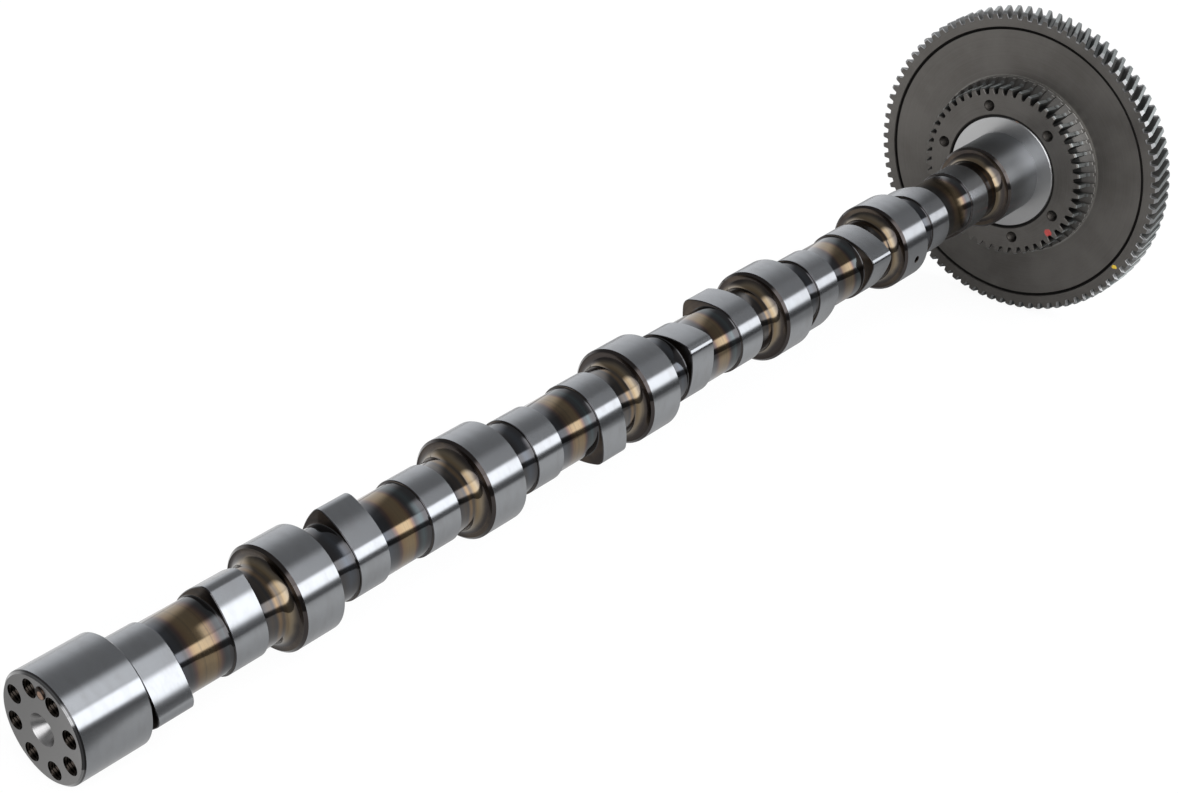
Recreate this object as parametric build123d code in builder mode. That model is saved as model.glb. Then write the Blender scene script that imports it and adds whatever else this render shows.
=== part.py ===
from build123d import *
import math
import os

# Heavy-duty six-cylinder diesel camshaft with its timing gear. Lengths in millimetres.
# The shaft lies along +X from the centre of its free end face, +Z is up.
# Angles are measured about +X from +Y towards +Z.

# Journals: seven bearings at the cylinder pitch, the first and the last one longer.
cylinders = 6
cylinder_pitch = 160.0
journal_diameter = 70.0
journal_width = 31.5
first_journal_width = 46.8
first_inner_journal_x = 158.0
last_journal_width = 45.2
journal_chamfer = 0.9
shoulder_chamfer = 1.8

# Shaft between the journals.
neck_diameter = 50.0
front_fillet = 7.5
rear_fillet = 3.0

# Valve lobes: two per cylinder, placed symmetrically between two journals.
lobe_base_radius = 26.7
lobe_lift = 8.2
lobe_nose_radius = 8.0
lobe_flank_radius = 60.0
lobe_width = 25.0
lobe_half_spacing = 31.0
lobe_chamfer = 0.5
first_lobe_angle = 196.5
lobe_separation = 97.2
firing_order = (1, 5, 3, 6, 2, 4)

# Free end face: tapped holes on a circle, a dowel pin and a machining centre.
end_hole_count = 8
end_hole_circle = 50.5
end_hole_diameter = 10.2
end_hole_depth = 26.0
end_hole_angle = -13.3
hole_chamfer = 0.8
dowel_circle = 53.4
dowel_diameter = 8.0
dowel_hole_depth = 14.0
dowel_stand_out = 1.0
dowel_chamfer = 0.6
centre_mouth_diameter = 20.5
centre_bore_diameter = 11.0
centre_bore_depth = 32.0
centre_cone_angle = 60.0

# Metering hole drilled across the sixth journal.
oil_journal = 6
oil_hole_diameter = 5.0
oil_hole_angle = 188.4
oil_hole_chamfer = 0.6

# Flange and pilot that carry the gear.
flange_diameter = 98.0
flange_thickness = 18.0
flange_chamfer = 0.6
flange_setback = 0.4
pilot_diameter = 60.0
pilot_chamfer = 1.5
pilot_end_gap = 1.0

# Large helical gear.
gear_teeth = 87
gear_tip_diameter = 269.5
gear_tooth_depth = 6.3
gear_width = 24.2
gear_front_x = 1025.4
gear_helix_angle = -20.0
gear_gap_angle = -0.66
gear_end_chamfer = 2.4
tip_land_ratio = 0.30
gap_floor_ratio = 0.28
web_recess = 1.0
rim_inner_diameter = 243.0
rim_groove_width = 2.4
rim_groove_depth = 1.6
rear_recess = 4.0
rear_hub_diameter = 150.0

# Small helical gear, cut in the hub of the same forging.
pinion_teeth = 51
pinion_tip_diameter = 150.0
pinion_tooth_depth = 6.2
pinion_helix_angle = 10.0
pinion_gap_angle = 2.4
pinion_end_chamfer = 1.6
pinion_full_depth_length = 3.5
run_out_radius = 20.0
root_ring_diameter = 158.0
root_ring_width = 5.0
root_fillet_radius = 7.0
bore_chamfer = 1.0

# Tapped holes in the hub face. One of them is moved round, so a plate fits only one way.
hub_hole_count = 6
hub_hole_circle = 118.0
hub_hole_diameter = 8.5
hub_hole_depth = 20.0
hub_hole_angle = 13.1
odd_hole = 3
odd_hole_shift = 13.5

# Pin half in the flange and half in the gear, which locks the shrunk joint.
lock_pin_diameter = 3.0
lock_pin_length = 12.0
lock_pin_angle = 102.1
lock_pin_setback = 0.3

os.makedirs("parts", exist_ok=True)

# Derived sizes. The dowel stands midway between the third and the fourth tapped hole.
dowel_angle = end_hole_angle + 2.5 * 360.0 / end_hole_count
centre_cone_rise = (centre_mouth_diameter - centre_bore_diameter) / 2
centre_cone_depth = centre_cone_rise / math.tan(math.radians(centre_cone_angle / 2))
journal_radius = journal_diameter / 2
neck_radius = neck_diameter / 2
flange_radius = flange_diameter / 2
pilot_radius = pilot_diameter / 2
last_journal_x = first_inner_journal_x + (cylinders - 1) * cylinder_pitch
last_journal_end = last_journal_x + last_journal_width
hub_front_x = last_journal_end
flange_front_x = hub_front_x + flange_setback
flange_rear_x = flange_front_x + flange_thickness
gear_rear_x = gear_front_x + gear_width
pilot_end_x = gear_rear_x - pilot_end_gap
web_front_x = gear_front_x + web_recess
journal_starts = [0.0]
journal_ends = [first_journal_width]
for index in range(cylinders - 1):
    journal_starts.append(first_inner_journal_x + index * cylinder_pitch)
    journal_ends.append(journal_starts[-1] + journal_width)
journal_starts.append(last_journal_x)
journal_ends.append(last_journal_end)


def polar(radius, angle):
    """Point at a radius and an angle in degrees in the plane across the shaft."""
    return (radius * math.cos(math.radians(angle)), radius * math.sin(math.radians(angle)))


def toothed_outline(teeth, tip_radius, depth, outer_radius, gap_angle):
    """Corners of a gear's section, one gap centred on gap_angle.

    Above the tip radius each tooth goes on straight out to outer_radius, so that a turned
    blank of any form can trim it.
    """
    pitch = 360.0 / teeth
    root_radius = tip_radius - depth
    points = []
    for tooth in range(teeth):
        middle = gap_angle + tooth * pitch
        points.append(polar(root_radius, middle - gap_floor_ratio * pitch / 2))
        points.append(polar(root_radius, middle + gap_floor_ratio * pitch / 2))
        points.append(polar(tip_radius, middle + (1 - tip_land_ratio) * pitch / 2))
        points.append(polar(outer_radius, middle + (1 - tip_land_ratio) * pitch / 2))
        points.append(polar(outer_radius, middle + (1 + tip_land_ratio) * pitch / 2))
        points.append(polar(tip_radius, middle + (1 + tip_land_ratio) * pitch / 2))
    return points


def twisted_gear(teeth, tip_radius, depth, outer_radius, gap_angle, start_x, width, twist):
    """Helical gear: a section at each end, turned by twist, joined by ruled faces."""
    ends = []
    for end_x, end_angle in ((start_x, gap_angle), (start_x + width, gap_angle + twist)):
        outline = toothed_outline(teeth, tip_radius, depth, outer_radius, end_angle)
        corners = [Vector(end_x, across, height) for across, height in outline]
        ends.append(Wire.make_polygon(corners, close=True))
    return Solid.make_loft(ends, ruled=True)


# Twist of each gear over its own width, from its helix angle at the pitch radius.
gear_pitch_radius = gear_tip_diameter / 2 - gear_tooth_depth * 0.45
gear_twist = math.degrees(
    gear_width * math.tan(math.radians(gear_helix_angle)) / gear_pitch_radius
)
pinion_width = web_front_x - hub_front_x
pinion_pitch_radius = pinion_tip_diameter / 2 - pinion_tooth_depth * 0.45
pinion_twist = math.degrees(
    pinion_width * math.tan(math.radians(pinion_helix_angle)) / pinion_pitch_radius
)

# Camshaft: the turned body first, one closed half-section revolved about the axis.
section_points = [(0, 0), (0, journal_radius - shoulder_chamfer), (shoulder_chamfer, journal_radius)]
for index in range(cylinders):
    end = journal_ends[index]
    start = journal_starts[index + 1]
    section_points.append((end - journal_chamfer, journal_radius))
    section_points.append((end, journal_radius - journal_chamfer))
    section_points.append((end, neck_radius))
    section_points.append((start, neck_radius))
    section_points.append((start, journal_radius - shoulder_chamfer))
    section_points.append((start + shoulder_chamfer, journal_radius))
section_points.append((flange_front_x, journal_radius))
section_points.append((flange_front_x, flange_radius - flange_chamfer))
section_points.append((flange_front_x + flange_chamfer, flange_radius))
section_points.append((flange_rear_x, flange_radius))
section_points.append((flange_rear_x, pilot_radius))
section_points.append((pilot_end_x - pilot_chamfer, pilot_radius))
section_points.append((pilot_end_x, pilot_radius - pilot_chamfer))
section_points.append((pilot_end_x, 0))

# Section of a lobe, nose towards +X of its sketch: base arc, two flank arcs and nose arc. The
# flank's centre lies on the far side of the axis, as its arc touches both others from outside.
nose_offset = lobe_base_radius + lobe_lift - lobe_nose_radius
base_reach = lobe_flank_radius - lobe_base_radius
nose_reach = lobe_flank_radius - lobe_nose_radius
flank_centre_x = (base_reach ** 2 - nose_reach ** 2 + nose_offset ** 2) / (2 * nose_offset)
flank_centre_y = -math.sqrt(base_reach ** 2 - flank_centre_x ** 2)
base_touch_angle = math.degrees(math.atan2(-flank_centre_y, -flank_centre_x))
nose_touch_angle = math.degrees(math.atan2(-flank_centre_y, nose_offset - flank_centre_x))
with BuildSketch(mode=Mode.PRIVATE) as lobe_section:
    with BuildLine():
        CenterArc(
            (0, 0), lobe_base_radius, base_touch_angle, 360.0 - 2 * base_touch_angle
        )
        CenterArc(
            (nose_offset, 0), lobe_nose_radius, -nose_touch_angle, 2 * nose_touch_angle
        )
        CenterArc(
            (flank_centre_x, flank_centre_y),
            lobe_flank_radius,
            nose_touch_angle,
            base_touch_angle - nose_touch_angle,
        )
        CenterArc(
            (flank_centre_x, -flank_centre_y),
            lobe_flank_radius,
            -base_touch_angle,
            base_touch_angle - nose_touch_angle,
        )
    make_face()

with BuildPart() as camshaft:
    with BuildSketch(Plane.XY) as half_section:
        with BuildLine():
            Polyline(*section_points, close=True)
        make_face()
        neck_corners = [v for v in half_section.vertices() if abs(v.Y - neck_radius) < 0.01]
        front_corners = []
        rear_corners = []
        for corner in neck_corners:
            if min(abs(corner.X - start) for start in journal_starts) < 0.01:
                front_corners.append(corner)
            else:
                rear_corners.append(corner)
        fillet(front_corners, radius=front_fillet)
        rear_positions = [corner.X for corner in rear_corners]
        rear_corners = [
            v
            for v in half_section.vertices()
            if abs(v.Y - neck_radius) < 0.01
            and min(abs(v.X - position) for position in rear_positions) < 0.01
        ]
        fillet(rear_corners, radius=rear_fillet)
    revolve(axis=Axis.X)

    # Lobes: a base arc and a nose arc, joined by two flank arcs that touch both.
    for cylinder in range(cylinders):
        firing_place = firing_order.index(cylinder + 1)
        middle = journal_starts[cylinder + 1] + journal_width / 2 - cylinder_pitch / 2
        first_angle = first_lobe_angle + firing_place * 360.0 / cylinders
        for side, angle in ((-1, first_angle), (1, first_angle - lobe_separation)):
            lobe_x = middle + side * lobe_half_spacing - lobe_width / 2
            with BuildPart(mode=Mode.PRIVATE) as lobe:
                with BuildSketch(Plane.YZ.offset(lobe_x)):
                    add(lobe_section.sketch, rotation=angle)
                extrude(amount=lobe_width)
                rims = lobe.faces().sort_by(Axis.X)[0].edges() + lobe.faces().sort_by(Axis.X)[-1].edges()
                chamfer(rims, length=lobe_chamfer)
            add(lobe.part)

    # Free end face: tapped holes, dowel hole and the centre with its drilled bore.
    with Locations(Plane.YZ.offset(0.0)):
        with PolarLocations(end_hole_circle / 2, end_hole_count, start_angle=end_hole_angle):
            Cylinder(
                end_hole_diameter / 2,
                end_hole_depth,
                align=(Align.CENTER, Align.CENTER, Align.MIN),
                mode=Mode.SUBTRACT,
            )
            Cone(
                end_hole_diameter / 2 + hole_chamfer,
                end_hole_diameter / 2,
                hole_chamfer,
                align=(Align.CENTER, Align.CENTER, Align.MIN),
                mode=Mode.SUBTRACT,
            )
        with Locations(polar(dowel_circle / 2, dowel_angle)):
            Cylinder(
                dowel_diameter / 2,
                dowel_hole_depth,
                align=(Align.CENTER, Align.CENTER, Align.MIN),
                mode=Mode.SUBTRACT,
            )
        Cylinder(
            centre_bore_diameter / 2,
            centre_bore_depth,
            align=(Align.CENTER, Align.CENTER, Align.MIN),
            mode=Mode.SUBTRACT,
        )
        Cone(
            centre_mouth_diameter / 2,
            centre_bore_diameter / 2,
            centre_cone_depth,
            align=(Align.CENTER, Align.CENTER, Align.MIN),
            mode=Mode.SUBTRACT,
        )

    # Metering hole straight across one journal.
    oil_x = journal_starts[oil_journal - 1] + journal_width / 2
    across = polar(1.0, oil_hole_angle)
    oil_plane = Plane(origin=(oil_x, 0, 0), x_dir=(1, 0, 0), z_dir=(0, across[0], across[1]))
    with Locations(oil_plane):
        Cylinder(oil_hole_diameter / 2, journal_diameter + 2, mode=Mode.SUBTRACT)

    # Half of the lock pin's hole, in the rim of the flange.
    with Locations(Plane.YZ.offset(flange_front_x)):
        with Locations(polar(flange_radius, lock_pin_angle)):
            Cylinder(
                lock_pin_diameter / 2,
                lock_pin_length + lock_pin_setback,
                align=(Align.CENTER, Align.CENTER, Align.MIN),
                mode=Mode.SUBTRACT,
            )
camshaft.part.label = "camshaft"
export_step(camshaft.part, "parts/camshaft.step")

# Dowel pin in the free end face: it stands a little out of the face.
with BuildPart() as end_dowel:
    with Locations(Plane.YZ.offset(-dowel_stand_out)):
        with Locations(polar(dowel_circle / 2, dowel_angle)):
            Cylinder(
                dowel_diameter / 2,
                dowel_hole_depth + dowel_stand_out,
                align=(Align.CENTER, Align.CENTER, Align.MIN),
            )
    pin_rims = end_dowel.faces().sort_by(Axis.X)[0].edges() + end_dowel.faces().sort_by(Axis.X)[-1].edges()
    chamfer(pin_rims, length=dowel_chamfer)
end_dowel.part.label = "end_dowel"
export_step(end_dowel.part, "parts/end_dowel.step")

# Lock pin, half in the flange and half in the gear.
with BuildPart() as lock_pin:
    with Locations(Plane.YZ.offset(flange_front_x + lock_pin_setback)):
        with Locations(polar(flange_radius, lock_pin_angle)):
            Cylinder(
                lock_pin_diameter / 2,
                lock_pin_length,
                align=(Align.CENTER, Align.CENTER, Align.MIN),
            )
lock_pin.part.label = "lock_pin"
export_step(lock_pin.part, "parts/lock_pin.step")

# Gear: two toothed rings and the turned body that joins them, one forging.
gear_tip = gear_tip_diameter / 2
gear_root = gear_tip - gear_tooth_depth
pinion_tip = pinion_tip_diameter / 2
pinion_root = pinion_tip - pinion_tooth_depth
rim_inner = rim_inner_diameter / 2
rear_hub = rear_hub_diameter / 2
root_ring = root_ring_diameter / 2
ring_overlap = 3.0
outer_allowance = 1.0

with BuildPart() as toothed_rim:
    with BuildSketch(Plane.XY):
        with BuildLine():
            Polyline(
                (gear_front_x, gear_root - ring_overlap),
                (gear_front_x, gear_tip - gear_end_chamfer),
                (gear_front_x + gear_end_chamfer, gear_tip),
                (gear_rear_x - gear_end_chamfer, gear_tip),
                (gear_rear_x, gear_tip - gear_end_chamfer),
                (gear_rear_x, gear_root - ring_overlap),
                close=True,
            )
        make_face()
    revolve(axis=Axis.X)
    teeth_of_rim = twisted_gear(
        gear_teeth,
        gear_tip,
        gear_tooth_depth,
        gear_tip + outer_allowance,
        gear_gap_angle,
        gear_front_x,
        gear_width,
        gear_twist,
    )
    add(teeth_of_rim, mode=Mode.INTERSECT)

# The cutter of the small gear rises out of the gap along an arc before it reaches the web.
floor_start_x = hub_front_x + pinion_full_depth_length
floor_rise = root_ring - pinion_root
floor_run = math.sqrt(run_out_radius ** 2 - (run_out_radius - floor_rise) ** 2)
floor_angle = math.acos((run_out_radius - floor_rise) / run_out_radius)
floor_middle = (
    floor_start_x + run_out_radius * math.sin(floor_angle / 2),
    pinion_root + run_out_radius * (1 - math.cos(floor_angle / 2)),
)
floor_end = (floor_start_x + floor_run, root_ring)
fillet_start_x = web_front_x - root_ring_width - root_fillet_radius
fillet_rise = root_ring - pinion_tip
fillet_angle = math.acos((root_fillet_radius - fillet_rise) / root_fillet_radius)
fillet_run = root_fillet_radius * math.sin(fillet_angle)
fillet_middle = (
    fillet_start_x + root_fillet_radius * math.sin(fillet_angle / 2),
    pinion_tip + root_fillet_radius * (1 - math.cos(fillet_angle / 2)),
)
fillet_end = (fillet_start_x + fillet_run, root_ring)

with BuildPart() as toothed_hub:
    teeth_of_hub = twisted_gear(
        pinion_teeth,
        pinion_tip,
        pinion_tooth_depth,
        root_ring + outer_allowance,
        pinion_gap_angle,
        hub_front_x,
        pinion_width,
        pinion_twist,
    )
    add(teeth_of_hub)
    with BuildSketch(Plane.XY):
        with BuildLine():
            Polyline(
                floor_end,
                (floor_end[0], root_ring + outer_allowance),
                (web_front_x, root_ring + outer_allowance),
                (web_front_x, pinion_root - ring_overlap),
                (floor_start_x, pinion_root - ring_overlap),
                (floor_start_x, pinion_root),
            )
            ThreePointArc((floor_start_x, pinion_root), floor_middle, floor_end)
        make_face()
    revolve(axis=Axis.X)
    with BuildPart(mode=Mode.INTERSECT) as hub_blank:
        with BuildSketch(Plane.XY):
            with BuildLine():
                Polyline(
                    fillet_end,
                    (web_front_x, root_ring),
                    (web_front_x, pinion_root - ring_overlap),
                    (hub_front_x, pinion_root - ring_overlap),
                    (hub_front_x, pinion_tip - pinion_end_chamfer),
                    (hub_front_x + pinion_end_chamfer, pinion_tip),
                    (fillet_start_x, pinion_tip),
                )
                ThreePointArc((fillet_start_x, pinion_tip), fillet_middle, fillet_end)
            make_face()
        revolve(axis=Axis.X)

with BuildPart() as cam_gear:
    with BuildSketch(Plane.XY):
        with BuildLine():
            Polyline(
                (hub_front_x, flange_radius + bore_chamfer),
                (hub_front_x, pinion_root - ring_overlap / 2),
                (web_front_x, pinion_root - ring_overlap / 2),
                (web_front_x, rim_inner - rim_groove_width),
                (web_front_x + rim_groove_depth, rim_inner - rim_groove_width / 2),
                (web_front_x + rim_groove_depth, rim_inner - rim_groove_width / 4),
                (gear_front_x, rim_inner),
                (gear_front_x, gear_root - ring_overlap / 2),
                (gear_rear_x, gear_root - ring_overlap / 2),
                (gear_rear_x, rim_inner),
                (gear_rear_x - rear_recess, rim_inner - rear_recess),
                (gear_rear_x - rear_recess, rear_hub),
                (gear_rear_x, rear_hub - rear_recess),
                (gear_rear_x, pilot_radius + bore_chamfer),
                (gear_rear_x - bore_chamfer, pilot_radius),
                (flange_rear_x, pilot_radius),
                (flange_rear_x, flange_radius),
                (hub_front_x + bore_chamfer, flange_radius),
                close=True,
            )
        make_face()
    revolve(axis=Axis.X)
    add(toothed_rim.part)
    add(toothed_hub.part)

    # Tapped holes in the hub face.
    with Locations(Plane.YZ.offset(hub_front_x)):
        for hole in range(hub_hole_count):
            hole_angle = hub_hole_angle + hole * 360.0 / hub_hole_count
            if hole == odd_hole:
                hole_angle += odd_hole_shift
            with Locations(polar(hub_hole_circle / 2, hole_angle)):
                Cylinder(
                    hub_hole_diameter / 2,
                    hub_hole_depth,
                    align=(Align.CENTER, Align.CENTER, Align.MIN),
                    mode=Mode.SUBTRACT,
                )
                Cone(
                    hub_hole_diameter / 2 + hole_chamfer,
                    hub_hole_diameter / 2,
                    hole_chamfer,
                    align=(Align.CENTER, Align.CENTER, Align.MIN),
                    mode=Mode.SUBTRACT,
                )

    # The other half of the lock pin's hole.
    with Locations(Plane.YZ.offset(hub_front_x)):
        with Locations(polar(flange_radius, lock_pin_angle)):
            Cylinder(
                lock_pin_diameter / 2,
                flange_setback + lock_pin_setback + lock_pin_length,
                align=(Align.CENTER, Align.CENTER, Align.MIN),
                mode=Mode.SUBTRACT,
            )
cam_gear.part.label = "cam_gear"
export_step(cam_gear.part, "parts/cam_gear.step")

for piece in (camshaft, end_dowel, lock_pin, cam_gear):
    box = piece.part.bounding_box()
    print(piece.part.label, len(piece.part.solids()), round(piece.part.volume), box.min, box.max)
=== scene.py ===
# %% [markdown]
# # A heavy-duty camshaft with its timing gear
#
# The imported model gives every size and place. This file dresses it: it makes fine surfaces for
# the shaft, the gear and the two pins, gives them their finishes, and sets up light and camera.
# Sizes are named in millimetres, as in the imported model, and become metres where a mesh is made.
# +X runs along the shaft from the free end to the gear, +Z is up.

# %% Load the frame
import math

import bmesh
import bpy
import numpy as np
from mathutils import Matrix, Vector

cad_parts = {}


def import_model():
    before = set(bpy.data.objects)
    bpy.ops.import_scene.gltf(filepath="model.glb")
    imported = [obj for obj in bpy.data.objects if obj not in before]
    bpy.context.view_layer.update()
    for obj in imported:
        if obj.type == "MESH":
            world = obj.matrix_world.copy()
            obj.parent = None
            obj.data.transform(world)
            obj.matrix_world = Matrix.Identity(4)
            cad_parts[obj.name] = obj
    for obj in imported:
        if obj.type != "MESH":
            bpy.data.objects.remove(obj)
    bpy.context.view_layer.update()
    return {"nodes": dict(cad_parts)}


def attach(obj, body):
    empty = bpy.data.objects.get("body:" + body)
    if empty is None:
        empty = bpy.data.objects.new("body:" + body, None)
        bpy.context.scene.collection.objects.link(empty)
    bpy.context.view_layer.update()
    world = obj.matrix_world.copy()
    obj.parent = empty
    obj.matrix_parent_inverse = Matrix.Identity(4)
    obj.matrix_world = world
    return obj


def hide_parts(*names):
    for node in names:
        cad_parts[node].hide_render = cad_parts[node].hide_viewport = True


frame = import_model()
print("frame nodes:", sorted(frame["nodes"]))

# %% [markdown]
# ## How a turned surface becomes a mesh
# Everything here is turned, ground or hobbed about one axis. So each surface is a stack of rings:
# the first number says how far round the ring a point lies, the second which ring it is in.
# One could use the Spin tool or a Screw modifier, but then lobes and teeth, whose radius
# changes round the ring, would need a second way. A plain array of rings takes them all.

# %% Millimetres, angles and rings
MM = 0.001
COLUMNS = 240
FIRST_COLUMN = 0.15


def column_angles(count=COLUMNS, first=FIRST_COLUMN):
    """Angles in radians of evenly spaced columns, the first one at the given degrees."""
    return np.radians(first + np.arange(count) * 360.0 / count)


def ring_points(x, radius, angle):
    """Point = (x, radius cos angle, radius sin angle), all in millimetres, as whole arrays."""
    x, radius, angle = np.broadcast_arrays(x, radius, angle)
    return np.stack([x, radius * np.cos(angle), radius * np.sin(angle)], axis=-1)


def quads_between_rings(rows, columns):
    """Quads of a grid of closed rings. Round the ring and then along the stack points outwards."""
    row, column = np.meshgrid(np.arange(rows - 1), np.arange(columns), indexing="ij")
    after = (column + 1) % columns
    corners = [row * columns + column, row * columns + after,
               (row + 1) * columns + after, (row + 1) * columns + column]
    return np.stack(corners, axis=-1).reshape(-1, 4)


print("columns round the shaft:", COLUMNS)

# %% [markdown]
# ## Collecting the surfaces of one piece
# A piece such as the gear needs a few stacks with different numbers of columns. Each stack is
# added to a heap of points and faces, with a mark on every face that says how it was finished:
# ground, drilled, bare edge and so on. Points that coincide are merged at the end, so the seams
# close. The marks are read later by the materials.

# %% A heap of surfaces
class Surfaces:
    """Points, faces and face marks of one piece, gathered stack by stack."""

    def __init__(self):
        self.points = []
        self.faces = []
        self.marks = []
        self.count = 0

    def add(self, points, faces, mark):
        """Adds points (n, 3) in millimetres and faces that number them from 0."""
        points = np.asarray(points).reshape(-1, 3)
        faces = np.asarray(faces)
        marks = np.broadcast_to(np.asarray(mark, float), (len(faces),))
        self.points.append(points)
        self.faces.extend((faces + self.count).tolist())
        self.marks.append(marks)
        self.count += len(points)

    def add_rings(self, rings, marks):
        """Adds a stack of rings (rows, columns, 3) with one mark for each gap between rows."""
        rows, columns = rings.shape[:2]
        faces = quads_between_rings(rows, columns)
        self.add(rings, faces, np.repeat(np.broadcast_to(marks, (rows - 1,)), columns))

    def make(self, name, sharp_degrees=28.0):
        """Makes the object: merges what coincides, keeps the marks, and shades it by angle."""
        mesh = bpy.data.meshes.new(name)
        mesh.from_pydata((np.concatenate(self.points) * MM).tolist(), [], self.faces)
        mark = mesh.attributes.new("finish", "FLOAT", "FACE")
        mark.data.foreach_set("value", np.concatenate(self.marks).astype(np.float32))
        work = bmesh.new()
        work.from_mesh(mesh)
        bmesh.ops.remove_doubles(work, verts=work.verts, dist=1e-6)
        open_edges = sum(1 for edge in work.edges if len(edge.link_faces) != 2)
        work.to_mesh(mesh)
        work.free()
        mesh.polygons.foreach_set("use_smooth", np.ones(len(mesh.polygons), bool))
        mesh.set_sharp_from_angle(angle=math.radians(sharp_degrees))
        piece = bpy.data.objects.new(name, mesh)
        bpy.context.scene.collection.objects.link(piece)
        mesh.calc_loop_triangles()
        print(name, "triangles:", len(mesh.loop_triangles), "open edges:", open_edges)
        return piece


# %% [markdown]
# ## Faces with tapped holes
# The free end and the gear's hub both have tapped holes in a flat ring. The ring is cut into one
# patch for each hole. A patch is a grid too: one way goes round the hole, the other from the
# bottom of the hole up its threaded wall, over its chamfer and across the face to the patch's
# border. A Boolean cut would be quicker to write, but leaves long thin faces that shade badly.

# %% Marks for the finishes
# ground lands, heat-tinted necks, drilled holes and turned faces, then the gear's tooth flanks,
# bare edges and oxide
GROUND, TINTED, DRILLED, TURNED, FLANK, BARE, OXIDE = 1.0, 0.0, 2.0, 3.0, 4.0, 5.0, 6.0


# %% A drilled and tapped ring
def arc_between(start, end, angles):
    """Column angles from start to end in radians, both among the given columns."""
    turn = 2 * math.pi
    steps = np.sort((angles - start + 1e-9) % turn)
    return start + steps[steps <= (end - start) % turn + 1e-6] - 1e-9


def thread_radius(x, round_angle, minor, height, pitch):
    """Radius of a thread: a triangle wave of x / pitch minus the share of a turn, cut flat."""
    phase = (x / pitch - round_angle / (2 * math.pi)) % 1.0
    wave = 1.0 - np.abs(2.0 * phase - 1.0)
    return minor + height * np.clip(1.25 * wave - 0.1, 0.0, 1.0)


def add_tapped_patch(heap, face_x, inner, outer, start, end, angles, hole, side=10):
    """One patch of a face with its hole.

    hole = (radius of its circle, angle, minor radius, thread height, pitch, depth). The patch's
    border is an outer arc, a side, an inner arc and a side. Each border point is joined by a
    straight line to the hole's rim in the direction in which it is seen from the hole's axis.
    """
    circle, angle, minor, height, pitch, depth = hole
    arc = arc_between(start, end, angles)
    share = np.linspace(0, 1, side + 2)[1:-1]
    radii = outer + (inner - outer) * share
    border_angle = np.concatenate([arc, np.full(side, arc[-1]), arc[::-1], np.full(side, arc[0])])
    border_radius = np.concatenate([np.full(len(arc), outer), radii,
                                    np.full(len(arc), inner), radii[::-1]])
    across = border_radius * np.cos(border_angle)
    up = border_radius * np.sin(border_angle)
    middle = np.array([circle * math.cos(angle), circle * math.sin(angle)])
    seen = np.arctan2(up - middle[1], across - middle[0])

    def ring_in_hole(into, radius):
        """A ring at a depth below the face, about the hole's own axis."""
        return np.stack([np.full_like(seen, face_x + into), middle[0] + radius * np.cos(seen),
                         middle[1] + radius * np.sin(seen)], axis=-1)

    threaded_depth = depth * 0.72
    stack = [ring_in_hole(depth + minor * 0.6, 0.0), ring_in_hole(depth, minor),
             ring_in_hole(threaded_depth + 0.1, minor)]
    for into in np.arange(threaded_depth, height, -pitch / 6):
        radius = thread_radius(into, seen, minor, height, pitch)
        stack.append(ring_in_hole(into, np.maximum(radius, minor + height - into)))
    rim = minor + height
    for share in (0.0, 0.08, 0.5, 1.0):
        y = (1 - share) * (middle[0] + rim * np.cos(seen)) + share * across
        z = (1 - share) * (middle[1] + rim * np.sin(seen)) + share * up
        stack.append(np.stack([np.full_like(seen, face_x), y, z], axis=-1))
    rings = np.array(stack)
    marks = np.full(len(rings) - 1, DRILLED)
    marks[-3:] = TURNED
    heap.add_rings(rings, marks)


# %% [markdown]
# ## The camshaft
# It is one forging: seven ground journals, twelve lobes and the flange that carries the gear.
# Journals and necks have the same radius all round. A lobe's section is a base circle and a
# small nose circle joined by two large flank arcs, so its radius depends on the angle. Since
# lobe sides are flat and square to the axis, both kinds of ring stack into one closed skin.

# %% Sizes of the shaft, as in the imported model
PITCH = 160.0
JOURNAL, NECK, FLANGE, PILOT = 35.0, 25.0, 49.0, 30.0
FIRST_WIDTH, JOURNAL_WIDTH, SECOND_JOURNAL = 46.8, 31.5, 158.0
FLANGE_FRONT, FLANGE_REAR, PILOT_END = 1003.6, 1021.6, 1048.6
FLANGE_EDGE, PILOT_EDGE = 0.6, 1.5
INNER_STARTS = [SECOND_JOURNAL + PITCH * k for k in range(6)]
JOURNAL_START = [0.0] + INNER_STARTS
JOURNAL_END = [FIRST_WIDTH] + [start + JOURNAL_WIDTH for start in INNER_STARTS[:-1]] + [FLANGE_FRONT]
SHOULDER, REAR_EDGE = 1.8, 0.9
FRONT_FILLET, REAR_FILLET = 7.5, 3.0
LOBE_BASE, LOBE_LIFT, LOBE_NOSE, LOBE_FLANK = 26.7, 8.2, 8.0, 60.0
LOBE_WIDTH, LOBE_HALF_SPACING, LOBE_EDGE, LOBE_ROOT = 25.0, 31.0, 0.5, 1.2
FIRST_LOBE, LOBE_SEPARATION = 196.5, 97.2
FIRING_ORDER = (1, 5, 3, 6, 2, 4)


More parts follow.
